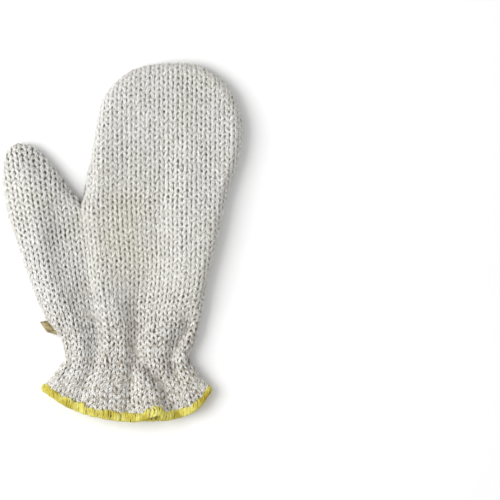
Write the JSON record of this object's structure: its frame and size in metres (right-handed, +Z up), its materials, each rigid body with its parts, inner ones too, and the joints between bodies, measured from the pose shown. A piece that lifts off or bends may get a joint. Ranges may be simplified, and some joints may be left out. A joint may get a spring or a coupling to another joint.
{
  "type": "knitted scrubbing mitt",
  "caption": "Soft scrubbing mitt knitted from silvery metal-wrapped yarn, with the fingers in one, a thumb, a gathered wrist, a flared cuff with a yellow overlocked hem and a ribbon tab.",
  "frame": {"origin": "on the table under the middle of the mitt, which lies on its back panel", "axes": "+Y from the hem to the fingertips, +X from the thumb side to the little finger side, +Z up out of the front panel"},
  "size_m": [0.1997, 0.2998, 0.022],
  "materials": {
    "metal_knit": "coarse loose knit of yarn wrapped in fine flat metal thread, silvery and slightly warm",
    "seam_thread": "textured polyester overlocking thread",
    "elastic": "braided elastic band",
    "gather_thread": "stretchy polyester zigzag thread",
    "hem_thread": "bulky yellow overlocking thread, laid side by side",
    "ribbon": "tan satin ribbon, folded and pressed"
  },
  "bodies": {
    "palm": {"palm_front_panel": "metal_knit", "palm_back_panel": "metal_knit", "palm_outer_seam": "seam_thread", "palm_thumb_seam": "seam_thread", "palm_web_seam": "seam_thread", "wrist_elastic": "elastic", "front_gather_stitch": "gather_thread", "back_gather_stitch": "gather_thread"},
    "fingers": {"finger_front_panel": "metal_knit", "finger_back_panel": "metal_knit", "finger_seam": "seam_thread"},
    "thumb": {"thumb_front_panel": "metal_knit", "thumb_back_panel": "metal_knit", "thumb_seam": "seam_thread"},
    "cuff": {"cuff_front_panel": "metal_knit", "cuff_back_panel": "metal_knit", "cuff_outer_seam": "seam_thread", "cuff_thumb_seam": "seam_thread", "front_hem_overlock": "hem_thread", "back_hem_overlock": "hem_thread"},
    "tab": {"ribbon_tab": "ribbon"}
  },
  "joints": [
    {"name": "finger_fold", "type": "hinge", "parent": "palm", "child": "fingers", "pos_m": [0.028, 0.047, 0.0215], "axis": [1, 0, 0], "range_deg": [0, 70]},
    {"name": "thumb_fold", "type": "hinge", "parent": "palm", "child": "thumb", "pos_m": [-0.05025, -0.012, 0.0221], "axis": [0.3239, 0.9461, 0], "range_deg": [0, 60]},
    {"name": "cuff_fold", "type": "hinge", "parent": "palm", "child": "cuff", "pos_m": [0.003, -0.095, 0.0191], "axis": [-1, 0, 0], "range_deg": [0, 60]},
    {"name": "tab_swing", "type": "hinge", "parent": "palm", "child": "tab", "pos_m": [-0.05907, -0.07084, 0.007], "axis": [-0.559, 0.8291, 0], "range_deg": [-50, 75]}
  ]
}
